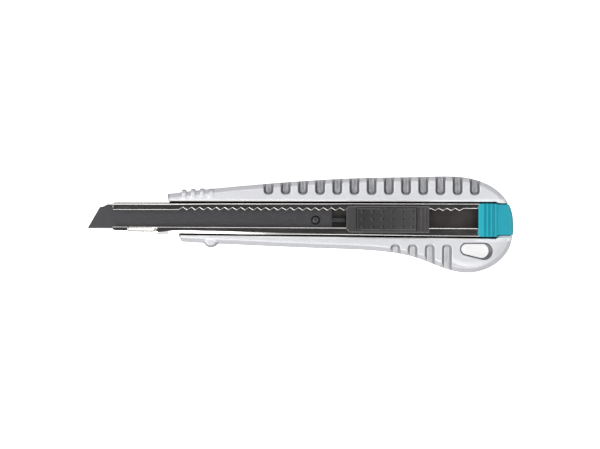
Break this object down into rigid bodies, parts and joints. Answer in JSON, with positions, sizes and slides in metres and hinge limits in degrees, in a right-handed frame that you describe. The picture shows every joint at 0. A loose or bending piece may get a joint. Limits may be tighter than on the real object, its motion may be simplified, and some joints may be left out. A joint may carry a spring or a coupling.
{
  "type": "snap-off blade utility knife",
  "caption": "Slim snap-off blade utility knife with a cast handle, a steel blade guide, a locking thumb slider, a lanyard hole and a coloured end cap.",
  "frame": {"origin": "on the flat back of the casting, halfway along the closed knife, under the middle of the blade guide", "axes": "+X from the blade tip towards the tail, +Y towards the edge with the long row of thumb grooves, +Z out of the slider side"},
  "size_m": [0.1471, 0.0331, 0.012],
  "materials": {
    "cast_handle": "satin lacquered die casting with a fine grain",
    "guide_steel": "polished stainless sheet",
    "rivet_steel": "plain",
    "carrier_steel": "dark phosphated",
    "black_blade": "black oxide, satin",
    "slider_plastic": "moulded, satin",
    "pad_plastic": "moulded, fine texture",
    "cap_plastic": "moulded, satin, teal"
  },
  "bodies": {
    "handle": {"handle_casting": "cast_handle", "blade_guide": "guide_steel", "guide_rivets": "rivet_steel"},
    "carriage": {"carrier_plate": "carrier_steel", "blade_peg": "carrier_steel", "blade": "black_blade", "slider_body": "slider_plastic", "slider_pins": "rivet_steel", "return_spring": "carrier_steel"},
    "thumb_button": {"thumb_pad": "pad_plastic", "lock_plate": "carrier_steel"},
    "cap": {"end_cap": "cap_plastic"}
  },
  "joints": [
    {"name": "blade_slide", "type": "slide", "parent": "handle", "child": "carriage", "axis": [-1, 0, 0], "range_m": [-0.01136, 0.0568]},
    {"name": "pad_press", "type": "slide", "parent": "carriage", "child": "thumb_button", "axis": [0, 0, -1], "range_m": [0, 0.0007], "stiffness_N_per_m": 1500, "springref_m": -0.0005, "deforming": ["return_spring"]},
    {"name": "cap_pull", "type": "slide", "parent": "handle", "child": "cap", "axis": [1, 0, 0], "range_m": [0, 0.019]}
  ]
}
